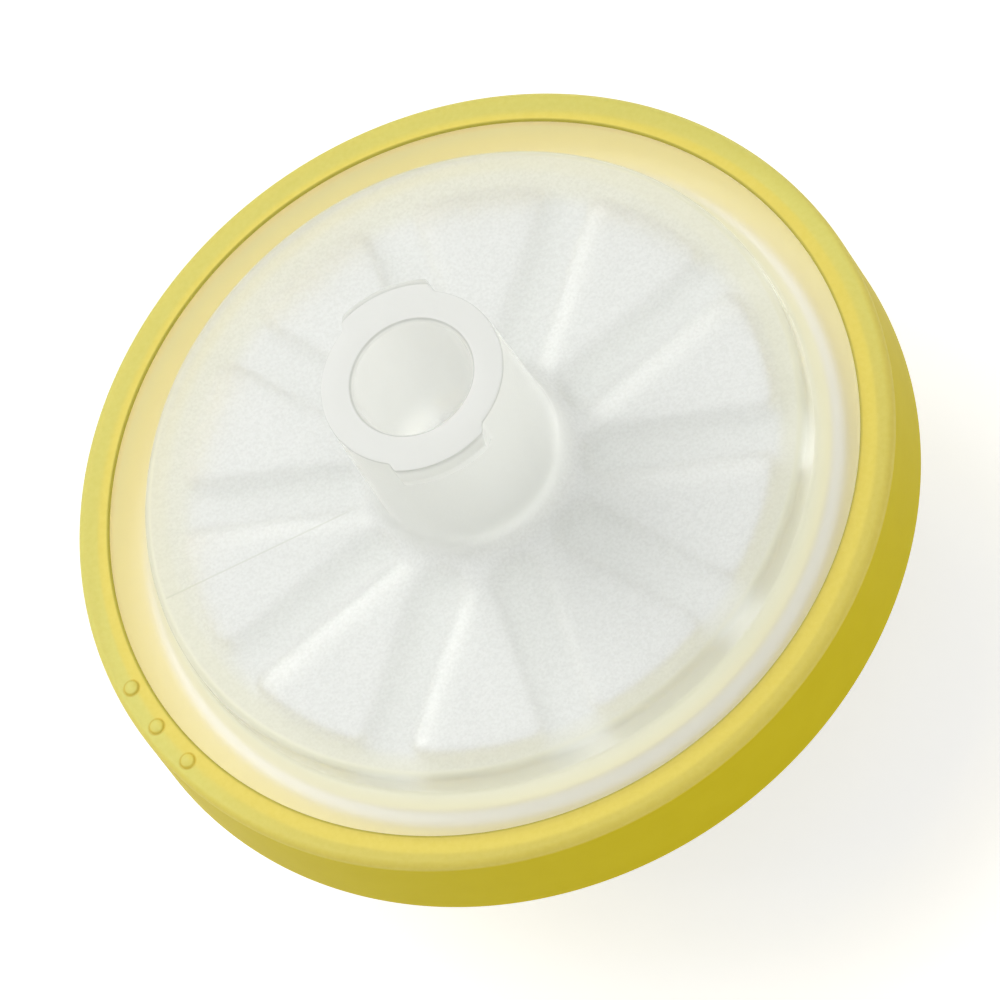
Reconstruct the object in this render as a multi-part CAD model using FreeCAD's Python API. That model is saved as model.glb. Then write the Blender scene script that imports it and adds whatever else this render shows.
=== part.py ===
import FreeCAD, Part

import math
import os

from FreeCAD import Vector

# A syringe filter in millimetres. +Z runs up the axis towards the inlet.
# The origin is the centre of the outlet tip's end. The two lugs of the inlet lie along Y.

# Filter membrane, clamped near its edge between the two housing halves
MEMBRANE_RADIUS = 12.5
MEMBRANE_THICKNESS = 0.15
MEMBRANE_EDGE_CLEARANCE = 0.05
CLAMP_WIDTH = 1.6

# Coloured ring, moulded around the edge of the two halves, with a tongue in between them
WELD_WIDTH = 0.28
RING_TONGUE_REACH = 1.42
RING_TONGUE_THICKNESS = 0.5
RING_WALL = 0.7
RING_GRIP = 0.5
RING_LIP_THICKNESS = 0.6
RING_TOP_FALL = 0.12
RING_CORNER_ROUND = 0.3
RING_LIP_ROUND = 0.08
DOT_COUNT = 3
DOT_RADIUS = 0.28
DOT_HEIGHT = 0.12
DOT_MIDDLE_ANGLE = -164.0
DOT_SPACING_ANGLE = 7.5

# Inlet half: flange, plateau and plate, with ribs down to the membrane
MEMBRANE_DEPTH = 1.05
INLET_SKIRT_DEPTH = 0.85
LAND_STEP = 0.1
PLATEAU_WALL = 1.2
PLATEAU_RISE = 1.1
PLATEAU_EDGE_ROUND = 0.3
LAND_ROUND = 0.15
INLET_PLATE_THICKNESS = 0.75
RIB_COUNT = 10
RIB_WIDTH = 1.7
RIB_INNER_RADIUS = 3.75
INLET_BOSS_RADIUS = 3.0
INLET_BOSS_DROP = 0.35
INLET_HOLE_RADIUS = 0.9
INLET_HOLE_CONE_RADIUS = 1.5
INLET_HOLE_CONE_DEPTH = 0.3

# Conical fittings, with a taper of 6% on the diameter
LUER_TAPER_PER_SIDE = 0.03
SOCKET_MOUTH_RADIUS = 2.15
SOCKET_DEPTH = 7.3
SOCKET_CHAMFER = 0.14
SOCKET_FLOOR_THICKNESS = 0.35
TIP_END_RADIUS = 1.985
TIP_LENGTH = 7.5
TIP_ROUND = 0.15

# Tube around the inlet socket, and the lugs of its locking fitting
TUBE_WALL = 1.16
TUBE_FLARE = 0.14
TUBE_TOP_ROUND = 0.06
TUBE_FOOT_ROUND = 1.05
LUG_COUNT = 2
LUG_REACH = 0.59
LUG_TOP_REACH = 0.27
LUG_BEVEL_DROP = 0.25
LUG_CREST_HEIGHT = 0.35
LUG_HEIGHT = 1.2
LUG_CREST_HALF_ANGLE = 24.0
LUG_ROOT_HALF_ANGLE = 32.0

# Outlet half: recessed plate with a boss for the tip, and ridges under the membrane
DRAIN_DEPTH = 0.8
OUTLET_PLATE_THICKNESS = 0.9
OUTLET_RECESS_DEPTH = 0.8
OUTLET_RECESS_ROUND = 0.4
OUTLET_BOSS_RISE = 0.3
OUTLET_BOSS_SHOULDER = 1.0
OUTLET_BOSS_ROUND = 0.3
OUTLET_BORE_RADIUS = 1.05
OUTLET_BORE_CHAMFER = 0.15
RIDGE_WIDTH = 0.45
RIDGE_PITCH = 1.0
FIRST_RIDGE_RADIUS = 2.5
DRAIN_SLOT_WIDTH = 1.0

# How far a feature runs into the body that it is fused to, or past one that it cuts
SINK = 0.1

# Radii, from the membrane outwards, and those of the fittings
CHAMBER_RADIUS = MEMBRANE_RADIUS - CLAMP_WIDTH
PLATEAU_RADIUS = CHAMBER_RADIUS + PLATEAU_WALL
POCKET_RADIUS = MEMBRANE_RADIUS + MEMBRANE_EDGE_CLEARANCE
WELD_RADIUS = POCKET_RADIUS + WELD_WIDTH
FLANGE_RADIUS = WELD_RADIUS + RING_TONGUE_REACH
RING_INNER_RADIUS = FLANGE_RADIUS - RING_GRIP
RING_OUTER_RADIUS = FLANGE_RADIUS + RING_WALL
DOT_CENTRE_RADIUS = (RING_INNER_RADIUS + RING_OUTER_RADIUS) / 2
SOCKET_FLOOR_RADIUS = SOCKET_MOUTH_RADIUS - LUER_TAPER_PER_SIDE * SOCKET_DEPTH
TUBE_TOP_RADIUS = SOCKET_MOUTH_RADIUS + TUBE_WALL
LUG_OUTER_RADIUS = TUBE_TOP_RADIUS + LUG_REACH
TIP_ROOT_RADIUS = TIP_END_RADIUS + LUER_TAPER_PER_SIDE * TIP_LENGTH
OUTLET_BOSS_RADIUS = TIP_ROOT_RADIUS + OUTLET_BOSS_SHOULDER

# Levels along the axis, from the tip's end upwards
RING_BOTTOM_Z = TIP_LENGTH + OUTLET_BOSS_RISE
OUTLET_LAND_Z = RING_BOTTOM_Z + LAND_STEP
LOWER_LIP_TOP_Z = RING_BOTTOM_Z + RING_LIP_THICKNESS
OUTLET_PLATE_Z = RING_BOTTOM_Z + OUTLET_RECESS_DEPTH
DRAIN_FLOOR_Z = OUTLET_PLATE_Z + OUTLET_PLATE_THICKNESS
MEMBRANE_BOTTOM_Z = DRAIN_FLOOR_Z + DRAIN_DEPTH
WELD_Z = MEMBRANE_BOTTOM_Z - INLET_SKIRT_DEPTH
TONGUE_BOTTOM_Z = WELD_Z - RING_TONGUE_THICKNESS
MEMBRANE_TOP_Z = MEMBRANE_BOTTOM_Z + MEMBRANE_THICKNESS
RING_TOP_Z = MEMBRANE_TOP_Z + MEMBRANE_DEPTH
UPPER_LIP_UNDER_Z = RING_TOP_Z - RING_LIP_THICKNESS
INLET_LAND_Z = RING_TOP_Z - LAND_STEP
PLATEAU_Z = RING_TOP_Z + PLATEAU_RISE
CEILING_Z = PLATEAU_Z - INLET_PLATE_THICKNESS
INLET_BOSS_Z = CEILING_Z - INLET_BOSS_DROP
SOCKET_FLOOR_Z = CEILING_Z + SOCKET_FLOOR_THICKNESS
MOUTH_Z = SOCKET_FLOOR_Z + SOCKET_DEPTH


def revolved(corners):
    """The full turn, about Z, of an outline of (radius, height, rounding) corners."""
    points = [Vector(radius, 0, height) for radius, height, rounding in corners]
    stops = []
    for index, (radius, height, rounding) in enumerate(corners):
        here = points[index]
        if rounding == 0:
            stops.append([here])
            continue
        before = (points[index - 1] - here).normalize()
        after = (points[(index + 1) % len(points)] - here).normalize()
        half_angle = before.getAngle(after) / 2
        inward = (before + after).normalize()
        reach = rounding / math.tan(half_angle)
        depth = rounding / math.sin(half_angle) - rounding
        stops.append([here + before * reach, here + inward * depth, here + after * reach])
    edges = []
    for index, stop in enumerate(stops):
        if len(stop) == 3:
            edges.append(Part.Arc(*stop).toShape())
        following = stops[(index + 1) % len(stops)]
        edges.append(Part.LineSegment(stop[-1], following[0]).toShape())
    face = Part.Face(Part.Wire(edges))
    return face.revolve(Vector(0, 0, 0), Vector(0, 0, 1), 360)


def around(shape, count, first_angle):
    """Copies of a shape, evenly spaced about Z."""
    copies = []
    for index in range(count):
        copy = shape.copy()
        angle = first_angle + index * 360.0 / count
        copy.rotate(Vector(0, 0, 0), Vector(0, 0, 1), angle)
        copies.append(copy)
    return copies


def at_angle(radius, degrees, height=0.0):
    """A point at a radius and an angle from X, at a height."""
    turn = math.radians(degrees)
    return Vector(radius * math.cos(turn), radius * math.sin(turn), height)


def inlet_lug():
    """One lug, centred on X: a bevelled ring section between two sloping flanks."""
    inside = TUBE_TOP_RADIUS - SINK
    bevel_z = MOUTH_Z - LUG_BEVEL_DROP
    crest_z = bevel_z - LUG_CREST_HEIGHT
    band = revolved([
        (inside, MOUTH_Z, 0),
        (TUBE_TOP_RADIUS + LUG_TOP_REACH, MOUTH_Z, 0),
        (LUG_OUTER_RADIUS, bevel_z, 0),
        (LUG_OUTER_RADIUS, crest_z, 0),
        (TUBE_TOP_RADIUS, MOUTH_Z - LUG_HEIGHT, 0),
        (inside, MOUTH_Z - LUG_HEIGHT, 0),
    ])
    floor_z = MOUTH_Z - LUG_HEIGHT - SINK
    plan = [at_angle(0, 0, floor_z)]
    plan.append(at_angle(TUBE_TOP_RADIUS, -LUG_ROOT_HALF_ANGLE, floor_z))
    plan.append(at_angle(LUG_OUTER_RADIUS, -LUG_CREST_HALF_ANGLE, floor_z))
    plan.append(at_angle(LUG_OUTER_RADIUS * 1.5, 0, floor_z))
    plan.append(at_angle(LUG_OUTER_RADIUS, LUG_CREST_HALF_ANGLE, floor_z))
    plan.append(at_angle(TUBE_TOP_RADIUS, LUG_ROOT_HALF_ANGLE, floor_z))
    sector = Part.Face(Part.makePolygon(plan + plan[:1]))
    return band.common(sector.extrude(Vector(0, 0, LUG_HEIGHT + 2 * SINK)))


def inlet_rib():
    """One rib along X, from the ceiling down to the membrane, with a round inner end."""
    height = CEILING_Z - MEMBRANE_TOP_Z + SINK
    end_x = RIB_INNER_RADIUS + RIB_WIDTH / 2
    length = CHAMBER_RADIUS + SINK - end_x
    corner = Vector(end_x, -RIB_WIDTH / 2, MEMBRANE_TOP_Z)
    bar = Part.makeBox(length, RIB_WIDTH, height, corner)
    end = Part.makeCylinder(RIB_WIDTH / 2, height, Vector(end_x, 0, MEMBRANE_TOP_Z))
    return bar.fuse(end)


def inlet_housing():
    """Socket tube, plateau and flange in one moulding, with ribs under the plateau."""
    chamfer_radius = SOCKET_MOUTH_RADIUS - LUER_TAPER_PER_SIDE * SOCKET_CHAMFER
    body = revolved([
        (INLET_HOLE_RADIUS, INLET_BOSS_Z, 0),
        (INLET_HOLE_RADIUS, SOCKET_FLOOR_Z - INLET_HOLE_CONE_DEPTH, 0),
        (INLET_HOLE_CONE_RADIUS, SOCKET_FLOOR_Z, 0),
        (SOCKET_FLOOR_RADIUS, SOCKET_FLOOR_Z, 0),
        (chamfer_radius, MOUTH_Z - SOCKET_CHAMFER, 0),
        (SOCKET_MOUTH_RADIUS + SOCKET_CHAMFER, MOUTH_Z, 0),
        (TUBE_TOP_RADIUS, MOUTH_Z, TUBE_TOP_ROUND),
        (TUBE_TOP_RADIUS + TUBE_FLARE, PLATEAU_Z, TUBE_FOOT_ROUND),
        (PLATEAU_RADIUS, PLATEAU_Z, PLATEAU_EDGE_ROUND),
        (PLATEAU_RADIUS, INLET_LAND_Z, LAND_ROUND),
        (RING_INNER_RADIUS, INLET_LAND_Z, 0),
        (RING_INNER_RADIUS, UPPER_LIP_UNDER_Z, 0),
        (FLANGE_RADIUS, UPPER_LIP_UNDER_Z, 0),
        (FLANGE_RADIUS, WELD_Z, 0),
        (POCKET_RADIUS, WELD_Z, 0),
        (POCKET_RADIUS, MEMBRANE_TOP_Z, 0),
        (CHAMBER_RADIUS, MEMBRANE_TOP_Z, 0),
        (CHAMBER_RADIUS, CEILING_Z, 0),
        (INLET_BOSS_RADIUS, CEILING_Z, 0),
        (INLET_BOSS_RADIUS, INLET_BOSS_Z, 0),
    ])
    ribs = around(inlet_rib(), RIB_COUNT, 90.0)
    lugs = around(inlet_lug(), LUG_COUNT, 90.0)
    return body.multiFuse(ribs + lugs).removeSplitter()


def drain_ridges():
    """Concentric ridges that carry the membrane, cut through by radial drain slots."""
    height = DRAIN_DEPTH + SINK
    floor = Vector(0, 0, DRAIN_FLOOR_Z - SINK)
    ridges = []
    radius = FIRST_RIDGE_RADIUS
    while radius + RIDGE_WIDTH < CHAMBER_RADIUS - RIDGE_WIDTH:
        outside = Part.makeCylinder(radius + RIDGE_WIDTH, height, floor)
        inside = Part.makeCylinder(radius, height, floor)
        ridges.append(outside.cut(inside))
        radius += RIDGE_PITCH
    slot_corner = Vector(0, -DRAIN_SLOT_WIDTH / 2, DRAIN_FLOOR_Z)
    slot = Part.makeBox(CHAMBER_RADIUS, DRAIN_SLOT_WIDTH, DRAIN_DEPTH + SINK, slot_corner)
    slots = around(slot, RIB_COUNT, 90.0 + 180.0 / RIB_COUNT)
    cut_ridges = []
    for ridge in ridges:
        cut_ridges.append(ridge.cut(slots))
    return cut_ridges


def outlet_housing():
    """Membrane support, flange and conical tip in one moulding."""
    body = revolved([
        (OUTLET_BORE_RADIUS, OUTLET_BORE_CHAMFER, 0),
        (OUTLET_BORE_RADIUS + OUTLET_BORE_CHAMFER, 0, 0),
        (TIP_END_RADIUS, 0, TIP_ROUND),
        (TIP_ROOT_RADIUS, TIP_LENGTH, 0),
        (OUTLET_BOSS_RADIUS, TIP_LENGTH, OUTLET_BOSS_ROUND),
        (OUTLET_BOSS_RADIUS, OUTLET_PLATE_Z, OUTLET_BOSS_ROUND),
        (CHAMBER_RADIUS, OUTLET_PLATE_Z, OUTLET_RECESS_ROUND),
        (CHAMBER_RADIUS, OUTLET_LAND_Z, LAND_ROUND),
        (RING_INNER_RADIUS, OUTLET_LAND_Z, 0),
        (RING_INNER_RADIUS, LOWER_LIP_TOP_Z, 0),
        (FLANGE_RADIUS, LOWER_LIP_TOP_Z, 0),
        (FLANGE_RADIUS, TONGUE_BOTTOM_Z, 0),
        (WELD_RADIUS, TONGUE_BOTTOM_Z, 0),
        (WELD_RADIUS, WELD_Z, 0),
        (POCKET_RADIUS, WELD_Z, 0),
        (POCKET_RADIUS, MEMBRANE_BOTTOM_Z, 0),
        (CHAMBER_RADIUS, MEMBRANE_BOTTOM_Z, 0),
        (CHAMBER_RADIUS, DRAIN_FLOOR_Z, 0),
        (OUTLET_BORE_RADIUS, DRAIN_FLOOR_Z, 0),
    ])
    return body.multiFuse(drain_ridges()).removeSplitter()


def filter_membrane():
    """The round filter membrane."""
    base = Vector(0, 0, MEMBRANE_BOTTOM_Z)
    return Part.makeCylinder(MEMBRANE_RADIUS, MEMBRANE_THICKNESS, base)


def ring_dot():
    """One raised dot: the cap of a ball whose rim lies on the ring's top face."""
    ball_radius = (DOT_RADIUS ** 2 + DOT_HEIGHT ** 2) / (2 * DOT_HEIGHT)
    slope = RING_TOP_FALL / (RING_OUTER_RADIUS - RING_INNER_RADIUS)
    face_z = RING_TOP_Z - slope * (DOT_CENTRE_RADIUS - RING_INNER_RADIUS)
    centre = Vector(DOT_CENTRE_RADIUS, 0, face_z + DOT_HEIGHT - ball_radius)
    ball = Part.makeSphere(ball_radius, centre)
    core_base = Vector(DOT_CENTRE_RADIUS, 0, face_z - SINK)
    core = Part.makeCylinder(DOT_RADIUS + SINK, 2 * ball_radius, core_base)
    return ball.common(core)


def overmould_ring():
    """A ring that grips both flanges and runs in between them, with three dots on top."""
    body = revolved([
        (RING_INNER_RADIUS, UPPER_LIP_UNDER_Z, 0),
        (RING_INNER_RADIUS, RING_TOP_Z, RING_LIP_ROUND),
        (RING_OUTER_RADIUS, RING_TOP_Z - RING_TOP_FALL, RING_CORNER_ROUND),
        (RING_OUTER_RADIUS, RING_BOTTOM_Z, RING_CORNER_ROUND),
        (RING_INNER_RADIUS, RING_BOTTOM_Z, RING_LIP_ROUND),
        (RING_INNER_RADIUS, LOWER_LIP_TOP_Z, 0),
        (FLANGE_RADIUS, LOWER_LIP_TOP_Z, 0),
        (FLANGE_RADIUS, TONGUE_BOTTOM_Z, 0),
        (WELD_RADIUS, TONGUE_BOTTOM_Z, 0),
        (WELD_RADIUS, WELD_Z, 0),
        (FLANGE_RADIUS, WELD_Z, 0),
        (FLANGE_RADIUS, UPPER_LIP_UNDER_Z, 0),
    ])
    dots = []
    for index in range(DOT_COUNT):
        dot = ring_dot()
        offset = (index - (DOT_COUNT - 1) / 2) * DOT_SPACING_ANGLE
        dot.rotate(Vector(0, 0, 0), Vector(0, 0, 1), DOT_MIDDLE_ANGLE + offset)
        dots.append(dot)
    return body.multiFuse(dots).removeSplitter()


PIECES = {
    "inlet_housing": inlet_housing,
    "outlet_housing": outlet_housing,
    "filter_membrane": filter_membrane,
    "overmould_ring": overmould_ring,
}

os.makedirs("parts", exist_ok=True)
for node, make in PIECES.items():
    shape = make()
    solids = shape.Solids
    if len(solids) != 1 or not solids[0].isValid():
        raise SystemExit(node + " is not one valid solid")
    solids[0].exportStep("parts/" + node + ".step")
    print(node, round(solids[0].Volume, 3), "mm3")
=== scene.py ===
import math

import bpy
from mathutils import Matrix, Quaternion, Vector
from mathutils.geometry import tessellate_polygon


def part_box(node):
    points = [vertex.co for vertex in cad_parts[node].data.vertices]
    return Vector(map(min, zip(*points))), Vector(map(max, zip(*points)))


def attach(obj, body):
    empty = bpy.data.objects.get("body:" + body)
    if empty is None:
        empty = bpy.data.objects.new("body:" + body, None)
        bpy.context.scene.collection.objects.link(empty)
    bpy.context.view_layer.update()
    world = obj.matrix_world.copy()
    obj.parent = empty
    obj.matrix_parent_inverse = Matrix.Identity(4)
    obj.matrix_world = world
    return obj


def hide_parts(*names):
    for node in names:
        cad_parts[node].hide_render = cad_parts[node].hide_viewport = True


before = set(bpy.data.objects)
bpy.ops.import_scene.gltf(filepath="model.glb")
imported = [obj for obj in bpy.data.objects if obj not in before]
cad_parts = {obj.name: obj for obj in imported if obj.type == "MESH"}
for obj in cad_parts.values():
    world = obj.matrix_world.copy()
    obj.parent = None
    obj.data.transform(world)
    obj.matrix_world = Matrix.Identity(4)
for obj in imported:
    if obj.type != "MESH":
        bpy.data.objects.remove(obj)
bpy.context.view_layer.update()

# A syringe filter. Lengths are in millimetres until place() turns them into metres. Named angles are
# in degrees.
MM = 0.001


def node_box(node):
    """Lowest and highest corner of a CAD node, in millimetres."""
    low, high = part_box(node)
    return low / MM, high / MM


# ---------------------------------------------------------------- sizes from the frame
RING_LOW, RING_HIGH = node_box("overmould_ring")
INLET_LOW, INLET_HIGH = node_box("inlet_housing")
OUTLET_LOW, _ = node_box("outlet_housing")
MEMBRANE_LOW, MEMBRANE_HIGH = node_box("filter_membrane")

RING_RADIUS = RING_HIGH.x
FLANGE_RADIUS = INLET_HIGH.x
MEMBRANE_RADIUS = MEMBRANE_HIGH.x
RING_BOTTOM = RING_LOW.z
MOUTH = INLET_HIGH.z
WELD = INLET_LOW.z
TIP_END = OUTLET_LOW.z
MEMBRANE_BOTTOM = MEMBRANE_LOW.z
MEMBRANE_TOP = MEMBRANE_HIGH.z

# ---------------------------------------------------------------- other sizes
# The ring, its lips, its tongue between the flanges, and the three dots on its top
RING_HEIGHT = 3.7
RING_TOP = RING_BOTTOM + RING_HEIGHT
RING_GRIP = 0.5
RING_INNER_RADIUS = FLANGE_RADIUS - RING_GRIP
RING_LIP = 0.6
RING_TOP_OUTER = RING_TOP - 0.12
RING_TOP_FACE = RING_TOP_OUTER - 0.02
RING_CORNER_ROUND = 0.3
RING_LIP_ROUND = 0.08
TONGUE_BOTTOM = WELD - 0.5
DOT_RADIUS = 0.28
DOT_HEIGHT = 0.12
DOT_ANGLES = (-171.5, -164.0, -156.5)
DOT_REACH_ANGLE = 1.6
DOT_CENTRE_RADIUS = (RING_INNER_RADIUS + RING_RADIUS) / 2

# The inlet half: its faces, the pocket of the membrane, and the ribs of its chamber
LAND = RING_TOP - 0.1
PLATEAU = RING_TOP + 1.1
PLATEAU_RADIUS = MEMBRANE_RADIUS - 0.4
CHAMBER_RADIUS = MEMBRANE_RADIUS - 1.6
POCKET_RADIUS = MEMBRANE_RADIUS + 0.05
WELD_RADIUS = POCKET_RADIUS + 0.28
PLATEAU_EDGE_ROUND = 0.3
LAND_ROUND = 0.15
CEILING = PLATEAU - 0.75
RIB_COUNT = 10
RIB_WIDTH = 1.7
RIB_INNER_RADIUS = 3.75
RIB_BEND = 0.5
RIB_ROOT_ROUND = 0.26
RIB_FOOT_ROUND = 0.1
FIRST_RIB_ANGLE = 90.0

# The inlet half: its socket and flow hole, the tube, and the lugs at the mouth
SOCKET_RADIUS = 2.15
SOCKET_FLOOR = CEILING + 0.35
SOCKET_TAPER = 0.03
SOCKET_CHAMFER = 0.14
MOUTH_ROUND = 0.06
HOLE_RADIUS = 0.9
HOLE_CONE_RADIUS = 1.5
HOLE_CONE_DEPTH = 0.3
INLET_BOSS_RADIUS = 3.0
INLET_BOSS = CEILING - 0.35
TUBE_RADIUS = 3.31
TUBE_FLARE = 0.14
TUBE_FOOT_ROUND = 1.05
PAST_LUGS = 2.0
LUG_RADIUS = 3.9
LUG_TOP_RADIUS = 3.58
LUG_BEVEL = 0.25
LUG_CREST_END = 0.6
LUG_HEIGHT = 1.2
LUG_CREST_ANGLE = 24.0
LUG_ROOT_ANGLE = 32.0
LUG_ANGLES = (90.0, 270.0)
LUG_BLEND = 0.1
LUG_BEVEL_BLEND = 0.06
LUG_FLANK_BLEND = 0.08
# Depths below the mouth that get a circle of points, closer together where the lugs bend
LUG_DEPTHS = (
    0.1, 0.15, 0.19, 0.22, 0.25, 0.28, 0.32, 0.38, 0.46, 0.52, 0.57, 0.62,
    0.67, 0.73, 0.8, 0.88, 0.96, 1.04, 1.1, 1.15, 1.2, 1.25, 1.32, 1.45,
)

# A hairline over the plateau: its direction, how far out it starts, and how far it passes from the axis
KNIT_ANGLE = 181.8
KNIT_START = 4.3
KNIT_ASIDE = -0.32

# The outlet half: its faces, the tip, and the ridges and slots of its drain floor
OUTLET_LAND = RING_BOTTOM + 0.1
OUTLET_PLATE = RING_BOTTOM + 0.8
DRAIN_FLOOR = MEMBRANE_BOTTOM - 0.8
TIP_RADIUS = 1.985
TIP_LENGTH = 7.5
BORE_RADIUS = 1.05
BORE_CHAMFER = 0.15
TIP_ROOT_RADIUS = TIP_RADIUS + SOCKET_TAPER * TIP_LENGTH
OUTLET_BOSS_RADIUS = TIP_ROOT_RADIUS + 1.0
OUTLET_BOSS_ROUND = 0.3
RECESS_ROUND = 0.4
RIDGE_WIDTH = 0.45
RIDGE_PITCH = 1.0
FIRST_RIDGE_RADIUS = 2.5
RIDGE_SLOPE = 0.05
DRAIN_SLOT_WIDTH = 1.0

# How far the membrane sinks between the ribs, outside a flat middle
MEMBRANE_GIVE = 0.03
MEMBRANE_FLAT_RADIUS = 1.0

# How far touching faces are kept from lying in one plane: the ring's faces run into the clear halves,
# and the membrane's stand back from them
CONTACT = 0.01
# Faces that meet at more than this angle have a sharp edge
SHARP_ANGLE = 32.0


# ---------------------------------------------------------------- mesh building
def rounded(corners, closed=False, step_angle=12.0):
    """Points of an outline of (a, b, rounding) corners, with each rounding as an arc."""
    count = len(corners)
    points = []
    for index, (a, b, rounding) in enumerate(corners):
        here = Vector((a, b))
        if rounding == 0 or (not closed and index in (0, count - 1)):
            points.append(here)
            continue
        last, following = corners[index - 1], corners[(index + 1) % count]
        before = (Vector(last[:2]) - here).normalized()
        after = (Vector(following[:2]) - here).normalized()
        half = before.angle(after) / 2
        centre = here + (before + after).normalized() * (rounding / math.sin(half))
        start = here + before * (rounding / math.tan(half)) - centre
        sweep = math.pi - 2 * half
        if before.cross(after) > 0:
            sweep = -sweep
        steps = max(2, round(abs(math.degrees(sweep)) / step_angle))
        for step in range(steps + 1):
            turn = sweep * step / steps
            cos, sin = math.cos(turn), math.sin(turn)
            points.append(centre + Vector((start.x * cos - start.y * sin, start.x * sin + start.y * cos)))
    return points


class Shell:
    """Vertices and faces of one closed mesh, in millimetres. Each face has the number of its finish."""

    def __init__(self):
        self.points = []
        self.faces = []
        self.finishes = []

    def loop(self, points):
        """Adds a closed loop of points and returns its vertex numbers."""
        first = len(self.points)
        self.points.extend(points)
        return list(range(first, len(self.points)))

    def face(self, corners, finish=0):
        self.faces.append(tuple(corners))
        self.finishes.append(finish)

    def skin(self, lower, upper, finish_at=None):
        """Quads between two loops of as many points. finish_at gives the finish by radius and height."""
        count = len(lower)
        for i in range(count):
            j = (i + 1) % count
            finish = 0
            if finish_at:
                x, y, z = (Vector(self.points[lower[i]]) + Vector(self.points[upper[i]])) / 2
                finish = finish_at(math.hypot(x, y), z)
            self.face((lower[i], lower[j], upper[j], upper[i]), finish)

    def skins(self, loops, finish_at=None):
        for lower, upper in zip(loops, loops[1:]):
            self.skin(lower, upper, finish_at)

    def fan(self, loop, middle):
        """Fills a loop with triangles from a point in its middle."""
        centre = self.loop([middle])[0]
        for i, number in enumerate(loop):
            self.face((number, loop[(i + 1) % len(loop)], centre))

    def flat(self, *loops):
        """Fills the level area between an outer loop and the loops inside it."""
        numbers = [number for loop in loops for number in loop]
        outlines = [[Vector(self.points[number]) for number in loop] for loop in loops]
        for triangle in tessellate_polygon(outlines):
            self.face([numbers[corner] for corner in triangle])


def ring_points(radius, height, angles):
    """Points of a circle round the axis, where the radius or the height may be a function of the angle."""
    points = []
    for angle in angles:
        r = radius(angle) if callable(radius) else radius
        z = height(angle) if callable(height) else height
        turn = math.radians(angle)
        points.append((r * math.cos(turn), r * math.sin(turn), z))
    return points


def even_angles(count):
    return [360.0 * i / count for i in range(count)]


def place(name, shell, node, slot, *materials):
    """Makes the object that stands for a CAD node, with a material for each finish."""
    mesh = bpy.data.meshes.new(name)
    mesh.from_pydata([Vector(p) * MM for p in shell.points], [], shell.faces)
    for material in materials:
        mesh.materials.append(material)
    mesh.polygons.foreach_set("material_index", shell.finishes)
    mesh.polygons.foreach_set("use_smooth", [True] * len(mesh.polygons))
    mesh.set_sharp_from_angle(angle=math.radians(SHARP_ANGLE))
    obj = bpy.data.objects.new(name, mesh)
    bpy.context.scene.collection.objects.link(obj)
    bpy.context.view_layer.objects.active = obj
    obj.select_set(True)
    bpy.ops.object.mode_set(mode="EDIT")
    bpy.ops.mesh.select_all(action="SELECT")
    bpy.ops.mesh.normals_make_consistent(inside=False)
    bpy.ops.object.mode_set(mode="OBJECT")
    obj.select_set(False)
    weighted = obj.modifiers.new("even shading", "WEIGHTED_NORMAL")
    weighted.keep_sharp = True
    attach(obj, "root")
    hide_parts(node)


# ---------------------------------------------------------------- the inlet half
def smooth_max(a, b, blend):
    """The larger of two lengths, rounded where they cross."""
    share = max(0.0, 1.0 - abs(a - b) / blend)
    return max(a, b) + share * share * blend / 4


def smooth_min(a, b, blend):
    return -smooth_max(-a, -b, blend)


def tube_angles():
    """Angles about the axis, closer together over the flanks of the lugs."""
    angles = []
    for i in range(360):
        angles.append(float(i))
        off_lug = min(abs(i - centre) for centre in LUG_ANGLES)
        if LUG_CREST_ANGLE - 4 <= off_lug <= LUG_ROOT_ANGLE + 4:
            angles.extend((i + 1 / 3, i + 2 / 3))
    return angles


def lug_plan(angle):
    """Radius of the lugs' outline in plan at an angle: level crests and straight flanks."""
    off = min(abs(angle - centre) for centre in LUG_ANGLES)
    crest, root = math.radians(LUG_CREST_ANGLE), math.radians(LUG_ROOT_ANGLE)
    outer = Vector((math.cos(crest), math.sin(crest))) * LUG_RADIUS
    inner = Vector((math.cos(root), math.sin(root))) * TUBE_RADIUS
    across_flank = (outer - inner).orthogonal().normalized()
    ray = Vector((math.cos(math.radians(off)), math.sin(math.radians(off))))
    flank = across_flank.dot(outer) / across_flank.dot(ray)
    return smooth_min(flank, LUG_RADIUS, LUG_FLANK_BLEND)


def tube_radius(angle, depth):
    """Outer radius of the inlet tube, lugs included, at a depth below its mouth."""
    flare = TUBE_FLARE / (MOUTH - PLATEAU)
    plain = TUBE_RADIUS + flare * depth
    if depth > LUG_HEIGHT + 2 * LUG_BLEND:
        return plain
    bevel = LUG_TOP_RADIUS + (LUG_RADIUS - LUG_TOP_RADIUS) * depth / LUG_BEVEL
    under = LUG_RADIUS - (LUG_RADIUS - TUBE_RADIUS) * (depth - LUG_CREST_END) / (LUG_HEIGHT - LUG_CREST_END)
    band = smooth_min(smooth_min(bevel, LUG_RADIUS, LUG_BEVEL_BLEND), under, LUG_BLEND)
    return smooth_max(plain, smooth_min(band, lug_plan(angle), LUG_BLEND), LUG_BLEND)


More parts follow.
